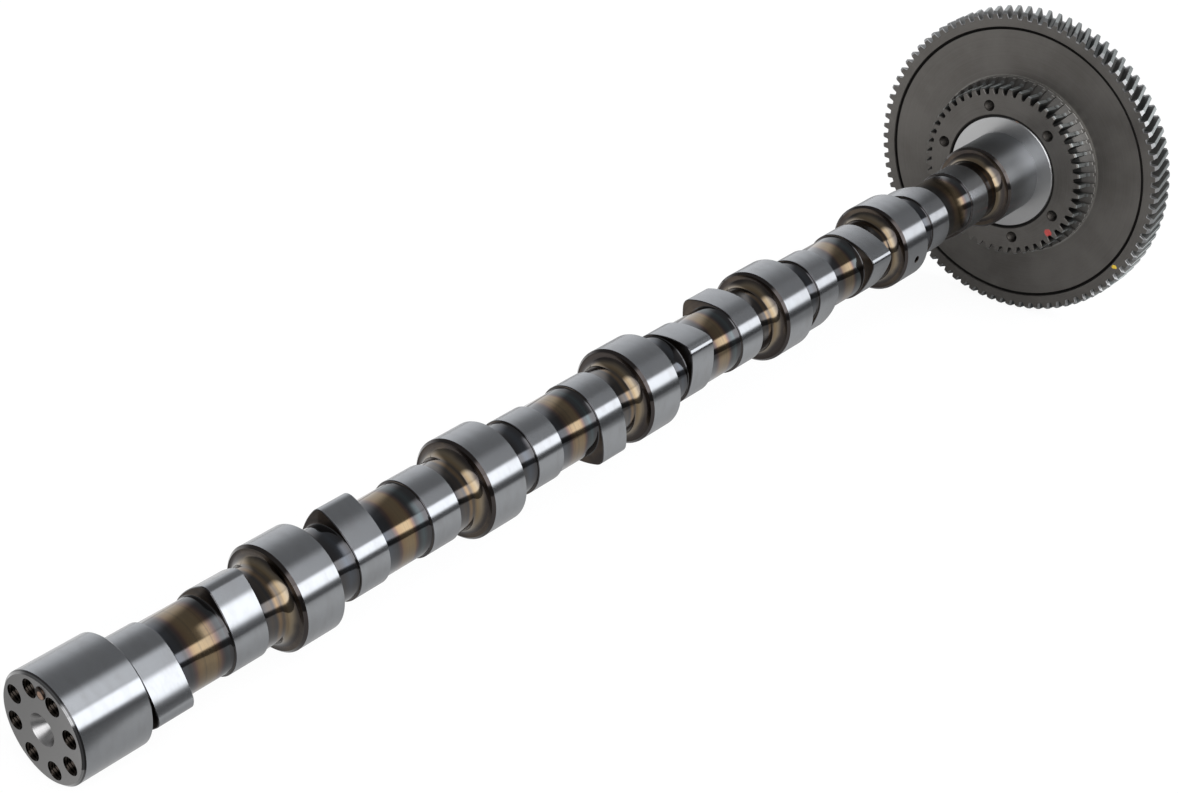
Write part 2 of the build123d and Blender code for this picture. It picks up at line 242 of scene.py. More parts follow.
def lobe_radius(angle, nose_angle):
    """Radius of the lobe's section at an angle.

    An arc whose centre lies at distance e from the axis, in direction t, and whose radius is n,
    is seen from the axis at e cos(a - t) + sqrt(n^2 - e^2 sin^2(a - t)). Within the nose that is
    the nose's arc, on the flank the large arc that touches nose and base, elsewhere the base.
    """
    distance = LOBE_BASE + LOBE_LIFT - LOBE_NOSE
    to_base, to_nose = LOBE_FLANK - LOBE_BASE, LOBE_FLANK - LOBE_NOSE
    flank_x = (to_base ** 2 - to_nose ** 2 + distance ** 2) / (2 * distance)
    flank_y = -math.sqrt(to_base ** 2 - flank_x ** 2)
    flank_turn = math.atan2(flank_y, flank_x)
    base_touch = math.atan2(-flank_y, -flank_x)
    nose_touch = math.atan2(-flank_y, distance - flank_x)
    nose_end = math.atan2(LOBE_NOSE * math.sin(nose_touch), distance + LOBE_NOSE * math.cos(nose_touch))
    away = np.abs((angle - nose_angle + math.pi) % (2 * math.pi) - math.pi)
    inside = np.minimum(away, nose_end)
    nose = distance * np.cos(inside) + np.sqrt(LOBE_NOSE ** 2 - (distance * np.sin(inside)) ** 2)
    turn = np.clip(away, nose_end, base_touch) - flank_turn
    flank = to_base * np.cos(turn) + np.sqrt(LOBE_FLANK ** 2 - (to_base * np.sin(turn)) ** 2)
    return np.where(away < nose_end, nose, np.where(away < base_touch, flank, LOBE_BASE))


# %% Rows of the shaft's skin
def quarter(centre_x, centre_r, radius, start, end, steps=7):
    """Points of a fillet: an arc about a centre from one angle to another, in degrees."""
    turn = np.radians(np.linspace(start, end, steps))
    return [(centre_x + radius * math.cos(t), centre_r + radius * math.sin(t)) for t in turn]


shaft_angles = column_angles()
skin = []


def add_row(x, radius, mark):
    """Keeps one ring: where it is, its radius (one number or one for each column), its mark."""
    skin.append((x, np.broadcast_to(radius, shaft_angles.shape), mark))


def add_lobe(start, nose_degrees):
    """Rows of one lobe: root fillet, flat side, chamfer, ground land, and the same back down."""
    radius = lobe_radius(shaft_angles, math.radians(nose_degrees))
    end = start + LOBE_WIDTH
    for x, root in quarter(start - LOBE_ROOT, NECK + LOBE_ROOT, LOBE_ROOT, -90, 0, 4):
        add_row(x, root, TINTED)
    add_row(start, radius - LOBE_EDGE, TINTED)
    add_row(start + LOBE_EDGE, radius, GROUND)
    add_row(end - LOBE_EDGE, radius, TINTED)
    add_row(end, radius - LOBE_EDGE, TINTED)
    for x, root in quarter(end + LOBE_ROOT, NECK + LOBE_ROOT, LOBE_ROOT, 180, 270, 4):
        add_row(x, root, TINTED)


# %% Rows from the free end to the pilot
OIL_JOURNAL, LAST_JOURNAL = 5, 6
OIL_X, OIL_ANGLE, OIL_RADIUS, OIL_CHAMFER = 813.75, 188.4, 2.5, 0.6
STEP = JOURNAL * 2 * math.pi / COLUMNS
OIL_HALF, OIL_WINDOW = 2.5 * STEP, 7.5 * STEP
for number in range(LAST_JOURNAL + 1):
    start, end = JOURNAL_START[number], JOURNAL_END[number]
    if number > 0:
        for x, radius in quarter(start - FRONT_FILLET, NECK + FRONT_FILLET, FRONT_FILLET, -90, 0):
            add_row(x, radius, TINTED)
    add_row(start, JOURNAL - SHOULDER, TINTED)
    add_row(start + SHOULDER, JOURNAL, GROUND)
    if number == OIL_JOURNAL:
        for along in np.linspace(-OIL_WINDOW, OIL_WINDOW, 16):
            add_row(OIL_X + along, JOURNAL, GROUND)
    if number == LAST_JOURNAL:
        break
    add_row(end - REAR_EDGE, JOURNAL, TINTED)
    add_row(end, JOURNAL - REAR_EDGE, TINTED)
    for x, radius in quarter(end + REAR_FILLET, NECK + REAR_FILLET, REAR_FILLET, 180, 270, 5):
        add_row(x, radius, TINTED)
    middle = JOURNAL_START[number + 1] + (JOURNAL_WIDTH - PITCH) / 2
    nose = FIRST_LOBE + FIRING_ORDER.index(number + 1) * 60.0
    add_lobe(middle - LOBE_HALF_SPACING - LOBE_WIDTH / 2, nose)
    add_lobe(middle + LOBE_HALF_SPACING - LOBE_WIDTH / 2, nose - LOBE_SEPARATION)
rear_profile = [(FLANGE_FRONT, JOURNAL), (FLANGE_FRONT, FLANGE - FLANGE_EDGE),
                (FLANGE_FRONT + FLANGE_EDGE, FLANGE), (FLANGE_REAR, FLANGE), (FLANGE_REAR, PILOT),
                (PILOT_END - PILOT_EDGE, PILOT), (PILOT_END, PILOT - PILOT_EDGE), (PILOT_END, 0.0)]
for x, radius in rear_profile:
    add_row(x, radius, TURNED)
print("rows of the shaft:", len(skin))

# %% [markdown]
# ## The metering hole in the sixth journal
# The hole goes straight across the journal. On the flat map of the journal's skin, a square of
# five by five faces is taken out, and the points round it are pulled into a circle. The pull
# fades away towards the border of a larger square, so the neighbours stay where they are.

# %% Skin of the shaft
skin_x = np.array([row[0] for row in skin])[:, None] + 0 * shaft_angles
skin_r = np.array([row[1] for row in skin])
skin_marks = np.array([row[2] for row in skin])[:-1]
skin_angle = np.broadcast_to(shaft_angles, skin_r.shape).copy()
open_square = np.zeros(skin_r.shape, bool)
oil_rim = OIL_RADIUS + OIL_CHAMFER
for mouth in (OIL_ANGLE, OIL_ANGLE + 180.0):
    along = skin_x - OIL_X
    round_it = JOURNAL * ((skin_angle - math.radians(mouth) + math.pi) % (2 * math.pi) - math.pi)
    far = np.maximum(np.abs(along), np.abs(round_it))
    near = (far < OIL_WINDOW + 0.01) & (np.abs(skin_r - JOURNAL) < 0.001)
    fade = np.clip((far - OIL_HALF) / (OIL_WINDOW - OIL_HALF), 0, 1)
    reach = np.maximum(np.hypot(along, round_it), 1e-6)
    new_along = (1 - fade) * oil_rim * along / reach + fade * along
    new_round = (1 - fade) * oil_rim * round_it / reach + fade * round_it
    open_square |= near & (far < OIL_HALF + 0.01)
    skin_angle = np.where(near, skin_angle + (new_round - round_it) / JOURNAL, skin_angle)
    skin_x = np.where(near, OIL_X + new_along, skin_x)
skin_points = ring_points(skin_x, skin_r, skin_angle)
skin_faces = quads_between_rings(len(skin), COLUMNS)
taken_out = open_square.reshape(-1)[skin_faces].all(axis=1)
shaft = Surfaces()
shaft.add(skin_points, skin_faces[~taken_out], np.repeat(skin_marks, COLUMNS)[~taken_out])
print("faces taken out for the metering hole:", int(taken_out.sum()))

# %% Wall of the metering hole
side = np.linspace(-OIL_HALF, OIL_HALF, 6)
low, high = np.full(5, -OIL_HALF), np.full(5, OIL_HALF)
corner = np.concatenate([np.stack([side[:-1], low], 1), np.stack([high, side[:-1]], 1),
                         np.stack([side[:0:-1], high], 1), np.stack([low, side[:0:-1]], 1)])
turn = np.arctan2(corner[:, 1], corner[:, 0])
for mouth in (OIL_ANGLE, OIL_ANGLE + 180.0):
    outward = math.radians(mouth)
    out_way = np.array([0.0, math.cos(outward), math.sin(outward)])
    round_way = np.array([0.0, -math.sin(outward), math.cos(outward)])
    stack = [ring_points(OIL_X + oil_rim * np.cos(turn), JOURNAL, outward + oil_rim * np.sin(turn) / JOURNAL)]
    for height in (JOURNAL - OIL_CHAMFER, 0.0):
        wall = np.sin(turn)[:, None] * round_way * OIL_RADIUS + out_way * height
        wall[:, 0] += OIL_X + OIL_RADIUS * np.cos(turn)
        stack.append(wall)
    shaft.add_rings(np.array(stack)[::-1][:, ::-1], DRILLED)

# %% Free end face: eight tapped holes and the machining centre
END_HOLES, END_ANGLE, END_CIRCLE = 8, -13.35, 25.25
M12_MINOR, M12_HEIGHT, M12_PITCH, END_HOLE_DEPTH = 5.1, 0.8, 1.75, 22.0
CENTRE_MOUTH, CENTRE_BORE, CENTRE_DEPTH, DRILL_TIP = 10.25, 5.5, 32.0, 3.3
CENTRE_CONE = 8.227
for k in range(END_HOLES):
    angle = END_ANGLE + 360.0 / END_HOLES * k
    hole = (END_CIRCLE, math.radians(angle), M12_MINOR, M12_HEIGHT, M12_PITCH, END_HOLE_DEPTH)
    half = 180.0 / END_HOLES
    add_tapped_patch(shaft, 0.0, CENTRE_MOUTH, JOURNAL - SHOULDER, math.radians(angle - half),
                     math.radians(angle + half), shaft_angles, hole)
centre = [(CENTRE_DEPTH + DRILL_TIP, 0.0), (CENTRE_DEPTH, CENTRE_BORE), (CENTRE_CONE, CENTRE_BORE),
          (0.0, CENTRE_MOUTH)]
centre_rings = np.array([ring_points(x, radius, shaft_angles) for x, radius in centre])
shaft.add_rings(centre_rings, [DRILLED, DRILLED, TURNED])
shaft_piece = shaft.make("camshaft_steel")

# %% [markdown]
# ## The gear
# Two helical gears are cut in one forging. Each cross-section is the same toothed outline, turned
# a little more from ring to ring, which gives the helix. Near the ends a ring may not reach
# higher than the turned blank, which makes the chamfer on each tooth. In the small gear the
# cutter rises out of the gaps along an arc before it meets the web, so its root rises ring by ring.

# %% Sizes of the gear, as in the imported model
HUB_X, GEAR_X, GEAR_END = 1003.2, 1025.4, 1049.6
WEB_X = GEAR_X + 1.0
GEAR_TEETH, GEAR_TIP, GEAR_DEPTH, GEAR_GAP, GEAR_HELIX = 87, 134.75, 6.3, -0.66, -20.0
HUB_TEETH, HUB_TIP, HUB_DEPTH, HUB_GAP, HUB_HELIX = 51, 75.0, 6.2, 2.4, 10.0
RIM_INNER, ROOT_RING = 121.5, 79.0
HUB_EDGE, GEAR_EDGE = 1.6, 2.4
HUB_MOUTH, HUB_FACE_EDGE, MOUTH_DEPTH = 50.0, 67.0, 1.0
RECESS, RECESS_INNER, RECESS_OUTER = 4.0, 75.0, 98.0


def twist_degrees(along, helix, tip, depth):
    """How far the helix has turned after a length: length times tan(helix) over the pitch radius."""
    return math.degrees(along * math.tan(math.radians(helix)) / (tip - 0.45 * depth))


def toothed_ring(x, teeth, tip, depth, gap_degrees, root_now, tip_now, ease=0.0):
    """One ring of a gear, in polar form.

    Within one pitch the gap is centred. Its half angle grows from 0.14 of the pitch at the root
    to 0.35 at the tip as height^1.25, so the flanks bulge a little as real ones do. Heights
    between root_now and tip_now are taken. ease opens the gap by that many millimetres.
    """
    pitch = 2 * math.pi / teeth
    root = tip - depth
    share = np.array([0.0, 0.05, 0.14, 0.3, 0.5, 0.7, 0.86, 0.95, 1.0])
    radius = root_now + share * max(tip_now - root_now, 0.0)
    height = np.clip((radius - root) / depth, 0.0, 1.0)
    round_root = 0.05 * np.exp(-height * 9.0)
    half = pitch * (0.19 - round_root + 0.16 * height ** 1.25) + ease / tip
    land = half[-1] + (pitch - 2 * half[-1]) * np.array([1 / 3, 2 / 3])
    angle = np.concatenate([[0.0], half, land, pitch - half[::-1]])
    radius = np.concatenate([[radius[0]], radius, [radius[-1]] * 2, radius[::-1]])
    first = math.radians(gap_degrees) + pitch * np.arange(teeth)
    return x, np.tile(radius, teeth), (first[:, None] + angle).reshape(-1)


def zip_rings(heap, inner, outer, mark):
    """Closes the strip between two rings with different numbers of points.

    Edges of both rings are taken in the order of their middle angles, and each one makes a
    triangle with the point that the other ring has reached by then.
    """
    def unrolled(ring):
        angle = np.unwrap(np.arctan2(ring[:, 2], ring[:, 1]))
        return angle, (angle + np.append(angle[1:], angle[0] + 2 * math.pi)) / 2

    angle_a, middle_a = unrolled(inner)
    angle_b, middle_b = unrolled(outer)
    shift = int(round((angle_a[0] - angle_b[0]) / (2 * math.pi))) * 2 * math.pi
    start = np.argmin(np.abs((angle_b + shift - angle_a[0] + math.pi) % (2 * math.pi) - math.pi))
    outer = np.roll(outer, -start, axis=0)
    angle_b, middle_b = unrolled(outer)
    turns = round((angle_b[0] - angle_a[0]) / (2 * math.pi)) * 2 * math.pi
    middle_b = middle_b - turns
    count_a, count_b = len(inner), len(outer)
    reached_b = np.searchsorted(middle_b, middle_a) % count_b
    reached_a = np.searchsorted(middle_a, middle_b) % count_a
    a, b = np.arange(count_a), np.arange(count_b)
    with_a = np.stack([a, (a + 1) % count_a, count_a + reached_b], 1)
    with_b = np.stack([count_a + (b + 1) % count_b, count_a + b, reached_a], 1)
    heap.add(np.concatenate([inner, outer]), np.concatenate([with_a, with_b]), mark)


# %% Small gear in the hub
gear = Surfaces()
FLOOR_START, RUN_OUT, FILLET_RADIUS = HUB_X + 3.5, 20.0, 7.0
FILLET_START = WEB_X - 5.0 - FILLET_RADIUS


def small_gear_root(x):
    """Root radius: level, then rising on the cutter's arc, up to the ring behind the teeth."""
    run = np.clip(x - FLOOR_START, 0.0, RUN_OUT)
    return min(HUB_TIP - HUB_DEPTH + RUN_OUT - math.sqrt(RUN_OUT ** 2 - run ** 2), ROOT_RING)


def small_gear_blank(x):
    """Radius of the turned blank: chamfer, land, then a fillet up to the ring."""
    run = np.clip(x - FILLET_START, 0.0, FILLET_RADIUS)
    rise = FILLET_RADIUS - math.sqrt(FILLET_RADIUS ** 2 - run ** 2)
    return HUB_TIP - max(HUB_X + HUB_EDGE - x, 0.0) + min(rise, ROOT_RING - HUB_TIP)


FLANK_END = 11.5
stations = np.concatenate([[0.0, 0.25, HUB_EDGE, 3.5], np.linspace(5.0, 17.0, 13),
                           [17.53, 18.5, 19.7, 20.9, WEB_X - HUB_X]])
hub_rings = []
for along in stations:
    x = HUB_X + along
    gap = HUB_GAP + twist_degrees(along, HUB_HELIX, HUB_TIP, HUB_DEPTH)
    blank = small_gear_blank(x)
    root = min(small_gear_root(x), blank)
    ease = 0.28 if along == 0.0 else 0.0
    hub_rings.append(ring_points(*toothed_ring(x, HUB_TEETH, HUB_TIP, HUB_DEPTH, gap, root, blank, ease)))
hub_rings = np.array(hub_rings)
cut_flank = (stations[:-1] >= HUB_EDGE) & (stations[:-1] <= FLANK_END)
hub_marks = np.where(cut_flank, FLANK, OXIDE)
gear.add_rings(hub_rings, hub_marks)
print("rings of the small gear:", hub_rings.shape)

# %% Web, groove and the large gear's front face
web_columns = np.arctan2(hub_rings[-1, :, 2], hub_rings[-1, :, 1])
GROOVE_WIDTH, GROOVE_DEPTH = 2.4, 1.6
web_profile = [(WEB_X, ROOT_RING), (WEB_X, 90.0), (WEB_X, 104.0), (WEB_X, RIM_INNER - GROOVE_WIDTH),
               (WEB_X + 1.2, RIM_INNER - 2.0), (WEB_X + GROOVE_DEPTH, RIM_INNER - GROOVE_WIDTH / 2),
               (WEB_X + 1.4, RIM_INNER - 0.6), (GEAR_X + 0.4, RIM_INNER), (GEAR_X, RIM_INNER + 0.3)]
web_rings = np.array([ring_points(x, radius, web_columns) for x, radius in web_profile])
gear.add_rings(web_rings, OXIDE)

# %% Teeth of the large gear
width = GEAR_END - GEAR_X
stations = np.concatenate([[0.0, 0.3, GEAR_EDGE], np.linspace(4.0, width - 4.0, 9),
                           [width - GEAR_EDGE, width - 0.3, width]])
rim_rings = []
for along in stations:
    gap = GEAR_GAP + twist_degrees(along, GEAR_HELIX, GEAR_TIP, GEAR_DEPTH)
    blank = GEAR_TIP - max(GEAR_EDGE - along, along - (width - GEAR_EDGE), 0.0)
    ease = 0.3 if along in (0.0, width) else 0.0
    rim_rings.append(ring_points(*toothed_ring(GEAR_X + along, GEAR_TEETH, GEAR_TIP, GEAR_DEPTH, gap,
                                               GEAR_TIP - GEAR_DEPTH, blank, ease)))
rim_rings = np.array(rim_rings)
rim_marks = np.full(len(stations) - 1, FLANK)
rim_marks[[0, 1, -2, -1]] = BARE
gear.add_rings(rim_rings, rim_marks)
zip_rings(gear, web_rings[-1], rim_rings[0], OXIDE)

# %% Back of the gear and its bore
back_angles = column_angles(COLUMNS, 0.0)
recess_x = GEAR_END - RECESS
back_profile = [(GEAR_END, RIM_INNER), (recess_x, RIM_INNER - RECESS), (recess_x, RECESS_OUTER),
                (recess_x, RECESS_INNER), (GEAR_END, RECESS_INNER - RECESS), (GEAR_END, PILOT + MOUTH_DEPTH),
                (GEAR_END - MOUTH_DEPTH, PILOT), (FLANGE_REAR, PILOT), (FLANGE_REAR, FLANGE),
                (HUB_X + MOUTH_DEPTH, FLANGE), (HUB_X, HUB_MOUTH)]
back_rings = np.array([ring_points(x, radius, back_angles) for x, radius in back_profile])
gear.add_rings(back_rings, OXIDE)
first_of_strip = len(gear.faces)
zip_rings(gear, back_rings[0], rim_rings[-1], OXIDE)
gear.faces[first_of_strip:] = [face[::-1] for face in gear.faces[first_of_strip:]]

# %% Hub face with its six tapped holes
HUB_CIRCLE, M10_MINOR, M10_HEIGHT, M10_PITCH, HUB_HOLE_DEPTH = 59.0, 4.25, 0.7, 1.5, 20.0
hole_degrees = [13.1, 73.1, 133.1, 206.6, 253.1, 313.1]
border_degrees = [42.0, 103.5, 169.5, 229.5, 283.5, 343.5]
for k, degrees in enumerate(hole_degrees):
    hole = (HUB_CIRCLE, math.radians(degrees), M10_MINOR, M10_HEIGHT, M10_PITCH, HUB_HOLE_DEPTH)
    add_tapped_patch(gear, HUB_X, HUB_MOUTH, HUB_FACE_EDGE, math.radians(border_degrees[k - 1]),
                     math.radians(border_degrees[k]), back_angles, hole, side=6)
face_edge = ring_points(HUB_X, HUB_FACE_EDGE, back_angles)
zip_rings(gear, face_edge, hub_rings[0], OXIDE)
gear_piece = gear.make("timing_gear")

# %% [markdown]
# ## The two pins
# A dowel in the end face turns whatever is bolted there, and a small pin keeps gear and flange
# from turning against each other. A Cylinder with a Bevel would do. The ring stack is used again,
# because it puts the pin in its place in the mesh itself, and the object stays at the origin.

# %% Pins
def pin(name, start, end, radius, chamfer, circle, degrees):
    """A short round pin: its profile turned about its own axis, closed at both ends."""
    heap = Surfaces()
    angles = column_angles(48, 0.0)
    profile = [(start, 0.0), (start, radius - chamfer), (start + chamfer * 0.4, radius - chamfer * 0.35),
               (start + chamfer, radius), (end - chamfer, radius), (end, radius - chamfer), (end, 0.0)]
    rings = np.array([ring_points(x, size, angles) for x, size in profile])
    rings[..., 1] += circle * math.cos(math.radians(degrees))
    rings[..., 2] += circle * math.sin(math.radians(degrees))
    heap.add_rings(rings, TURNED)
    return heap.make(name)


dowel_piece = pin("end_dowel_pin", start=-1.0, end=14.0, radius=4.0, chamfer=0.6,
                  circle=26.7, degrees=99.2)
lock_piece = pin("flange_lock_pin", start=1003.9, end=1015.9, radius=1.5, chamfer=0.2,
                 circle=FLANGE, degrees=102.1)

# %% Which CAD node each piece stands for
stand_ins = [(shaft_piece, "camshaft", "shaft_steel"), (gear_piece, "cam_gear", "gear_steel"),
             (dowel_piece, "end_dowel", "pin_steel"), (lock_piece, "lock_pin", "pin_steel")]
for piece, node, slot_name in stand_ins:
    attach(piece, "root")
    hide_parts(node)

# %% [markdown]
# ## Finishes
# Steel that comes from a grinding wheel shows fine lines round the part, so its gloss is drawn
# out across them. Between the lands the hardening coil has left heat tints: straw and brown in
# the middle of a neck, blue-black next to the lobes. They repeat with the cylinders, so a colour
# ramp over one cylinder pitch gives them, read from the X coordinate.

# %% Node helpers: materials and sums
def new_material(name, shader_type="ShaderNodeBsdfPrincipled"):
    """A node material with nothing but its output and one shader."""
    material = bpy.data.materials.new(name)
    material.use_nodes = True
    tree = material.node_tree
    tree.nodes.clear()
    output = tree.nodes.new("ShaderNodeOutputMaterial")
    shader = tree.nodes.new(shader_type)
    tree.links.new(shader.outputs[0], output.inputs["Surface"])
    return material, tree, shader


def put(tree, socket, value):
    """Links an output to a socket, or sets the socket to a number or to an (r, g, b) colour."""
    if isinstance(value, bpy.types.NodeSocket):
        tree.links.new(value, socket)
    elif isinstance(value, tuple):
        socket.default_value = (*value, 1.0)
    else:
        socket.default_value = value


def maths(tree, operation, *values):
    """One Math node."""
    node = tree.nodes.new("ShaderNodeMath")
    node.operation = operation
    for socket, value in zip(node.inputs, values):
        put(tree, socket, value)
    return node.outputs[0]


def product(tree, value, *others):
    """Multiplies two or more values."""
    for other in others:
        value = maths(tree, "MULTIPLY", value, other)
    return value


def added(tree, value, *others):
    """Adds two or more values."""
    for other in others:
        value = maths(tree, "ADD", value, other)
    return value


def less(tree, value, other):
    """The first value minus the second."""
    return maths(tree, "SUBTRACT", value, other)


def larger(tree, value, other):
    """The larger of two values."""
    return maths(tree, "MAXIMUM", value, other)


def length(tree, across, up):
    """Distance = square root of across^2 + up^2."""
    return maths(tree, "SQRT", added(tree, product(tree, across, across), product(tree, up, up)))


def spread(tree, value, low, high, to_low=0.0, to_high=1.0):
    """Maps a range of values smoothly onto another."""
    node = tree.nodes.new("ShaderNodeMapRange")
    node.interpolation_type = "SMOOTHSTEP"
    for socket, item in zip(node.inputs, (value, low, high, to_low, to_high)):
        put(tree, socket, item)
    return node.outputs[0]


def band(tree, value, low, low_full, high_full, high):
    """Rises smoothly from 0 to 1 between the first two places and falls again between the others."""
    return product(tree, spread(tree, value, low, low_full), spread(tree, value, high_full, high, 1.0, 0.0))


# %% Node helpers: colours, noise and places
def mixed(tree, share, first, second):
    """Mixes two colours: share 0 gives the first."""
    node = tree.nodes.new("ShaderNodeMix")
    node.data_type = "RGBA"
    put(tree, node.inputs["Factor"], share)
    put(tree, node.inputs[6], first)
    put(tree, node.inputs[7], second)
    return node.outputs[2]


def ramp(tree, value, stops):
    """A colour ramp from (position, (r, g, b)) stops."""
    node = tree.nodes.new("ShaderNodeValToRGB")
    elements = node.color_ramp.elements
    while len(elements) > 1:
        elements.remove(elements[-1])
    for number, (position, colour) in enumerate(stops):
        element = elements[0] if number == 0 else elements.new(position)
        element.position = position
        element.color = (*colour, 1.0)
    put(tree, node.inputs["Fac"], value)
    return node.outputs["Color"]


def noise(tree, vector, scale, detail=3.0, roughness=0.5):
    """A Noise texture's factor."""
    node = tree.nodes.new("ShaderNodeTexNoise")
    put(tree, node.inputs["Vector"], vector)
    put(tree, node.inputs["Scale"], scale)
    put(tree, node.inputs["Detail"], detail)
    put(tree, node.inputs["Roughness"], roughness)
    return node.outputs["Fac"]


def parted(tree, vector):
    """The three numbers of a vector."""
    node = tree.nodes.new("ShaderNodeSeparateXYZ")
    put(tree, node.inputs[0], vector)
    return node.outputs


def combined(tree, x, y, z):
    """A vector from three numbers."""
    node = tree.nodes.new("ShaderNodeCombineXYZ")
    for socket, value in zip(node.inputs, (x, y, z)):
        put(tree, socket, value)
    return node.outputs[0]


def place(tree):
    """Object coordinates as a vector, then x, y and z, then the distance from the axis."""
    coordinates = tree.nodes.new("ShaderNodeTexCoord").outputs["Object"]
    x, y, z = parted(tree, coordinates)
    return coordinates, x, y, z, length(tree, y, z)


def finish_mark(tree):
    """The face mark that says how a face was finished."""
    node = tree.nodes.new("ShaderNodeAttribute")
    node.attribute_name = "finish"
    return node.outputs["Fac"]


def is_mark(tree, mark, value):
    """1 where the face mark is the given one."""
    return maths(tree, "COMPARE", mark, value, 0.4)


def bumped(tree, shader, height, strength, distance):
    """Puts a small relief on a shader."""
    node = tree.nodes.new("ShaderNodeBump")
    put(tree, node.inputs["Height"], height)
    node.inputs["Strength"].default_value = strength
    node.inputs["Distance"].default_value = distance
    tree.links.new(node.outputs["Normal"], shader.inputs["Normal"])


def grey(value, warm=0.0):
    """A grey with a little warmth."""
    return (value * (1 + warm), value, value * (1 - warm))


# %% Heat tints along one cylinder
FIRST_CYLINDER = SECOND_JOURNAL + JOURNAL_WIDTH / 2 - PITCH
BLACK, BLUE, GREEN = (0.040, 0.039, 0.041), (0.052, 0.058, 0.068), (0.050, 0.064, 0.068)
PURPLE, BROWN, STRAW = (0.078, 0.048, 0.042), (0.148, 0.098, 0.053), (0.168, 0.121, 0.066)
DARK_BROWN, PALE_STRAW, CHAR = (0.060, 0.050, 0.042), (0.180, 0.145, 0.100), (0.032, 0.026, 0.024)
TINTS_FROM_MIDDLE = [
    (-80.0, BLACK), (-56.0, BLACK), (-50.0, BLUE), (-44.0, BLACK), (-17.0, BLUE), (-11.0, BLACK),
    (-8.5, PURPLE), (-6.5, BROWN), (-2.0, STRAW), (2.5, STRAW), (4.3, BROWN), (6.0, PURPLE),
    (7.5, BLACK), (12.0, GREEN), (15.5, BLACK), (44.0, BLACK), (49.0, DARK_BROWN), (51.5, BLACK),
    (54.0, BROWN), (57.0, DARK_BROWN), (59.5, STRAW), (61.5, PALE_STRAW), (63.0, DARK_BROWN),
    (63.8, CHAR), (66.3, CHAR)]


def heat_tints(tree, coordinates, x):
    """Tint from the place within a cylinder's length: the fraction of (x - start) / pitch.

    A slow noise shifts the place by a few millimetres, so that the borders aren't quite round.
    On the first and last cylinders the brown reaches nearer to the second lobe than on the
    others, so there the part past the middle is read more slowly.
    """
    wobble = product(tree, less(tree, noise(tree, coordinates, 38.0), 0.5), 0.005)
    from_start = less(tree, added(tree, x, wobble), FIRST_CYLINDER * MM)
    pitches = maths(tree, "DIVIDE", from_start, PITCH * MM)
    cell = maths(tree, "FRACT", pitches)
    past_middle = larger(tree, less(tree, cell, 0.5), 0.0)
    first = maths(tree, "LESS_THAN", pitches, 0.6)
    last = product(tree, maths(tree, "GREATER_THAN", pitches, 5.4), maths(tree, "LESS_THAN", pitches, 5.6))
    cell = less(tree, cell, product(tree, past_middle, larger(tree, first, last), 0.4))
    return ramp(tree, cell, [((along + PITCH / 2) / PITCH, tint) for along, tint in TINTS_FROM_MIDDLE])


print("tints along a cylinder:", len(TINTS_FROM_MIDDLE))


# %% Colours of necks, lands and turned faces
SEVENTH_X = JOURNAL_START[LAST_JOURNAL] * MM


def neck_colour(tree, coordinates, x, radius, patches, side_wall):
    """Heat tints with scorched rings, brown scale on the sides of lobes, and at the free end a light grey
    chamfer with a painted dark reflection line along its outer edge.
    """
    tint = mixed(tree, spread(tree, patches, 0.5, 0.8, 0.0, 0.4), heat_tints(tree, coordinates, x),
                 (0.05, 0.045, 0.04))
    scale = mixed(tree, spread(tree, patches, 0.4, 0.65), (0.040, 0.031, 0.027), (0.085, 0.064, 0.046))
    tint = mixed(tree, side_wall, tint, scale)
    # painted reflection: a dark line along the outer edge of the free end's chamfer
    painted_line_share = spread(tree, radius, (JOURNAL - 1.0) * MM, (JOURNAL - 0.6) * MM)
    end_chamfer_with_painted_line = mixed(tree, painted_line_share, grey(0.20), grey(0.05))
    tint = mixed(tree, maths(tree, "LESS_THAN", x, 0.004), tint, end_chamfer_with_painted_line)
    scorched = noise(tree, combined(tree, x, product(tree, radius, 0.6), 0.0), 460.0, 3.0, 0.6)
    tint = mixed(tree, spread(tree, scorched, 0.50, 0.68, 0.0, 0.38), tint, (0.030, 0.026, 0.025))
    return mixed(tree, spread(tree, scorched, 0.30, 0.42, 0.10, 0.0), tint, (0.150, 0.125, 0.100))


def land_colour(tree, x, lines, smears):
    """Bright steel with fine lines and faint smears, a little darker on the seventh journal."""
    ground = mixed(tree, spread(tree, smears, 0.4, 0.75), (0.268, 0.277, 0.288), (0.245, 0.250, 0.258))
    ground = mixed(tree, spread(tree, lines, 0.3, 0.7, 0.0, 0.2), ground, (0.290, 0.300, 0.312))
    on_seventh = spread(tree, x, SEVENTH_X - 0.003, SEVENTH_X)
    return mixed(tree, on_seventh, ground, (0.215, 0.222, 0.230))


def turned_colour(tree, x, radius):
    """Greys in fine rings left by the turning tool, lighter on the flange."""
    rings = noise(tree, combined(tree, radius, x, 0.0), 1900.0, 2.0, 0.7)
    turned = mixed(tree, rings, grey(0.26, 0.015), grey(0.36, 0.015))
    return mixed(tree, spread(tree, x, SEVENTH_X - 0.008, SEVENTH_X + 0.002), turned, grey(0.48))


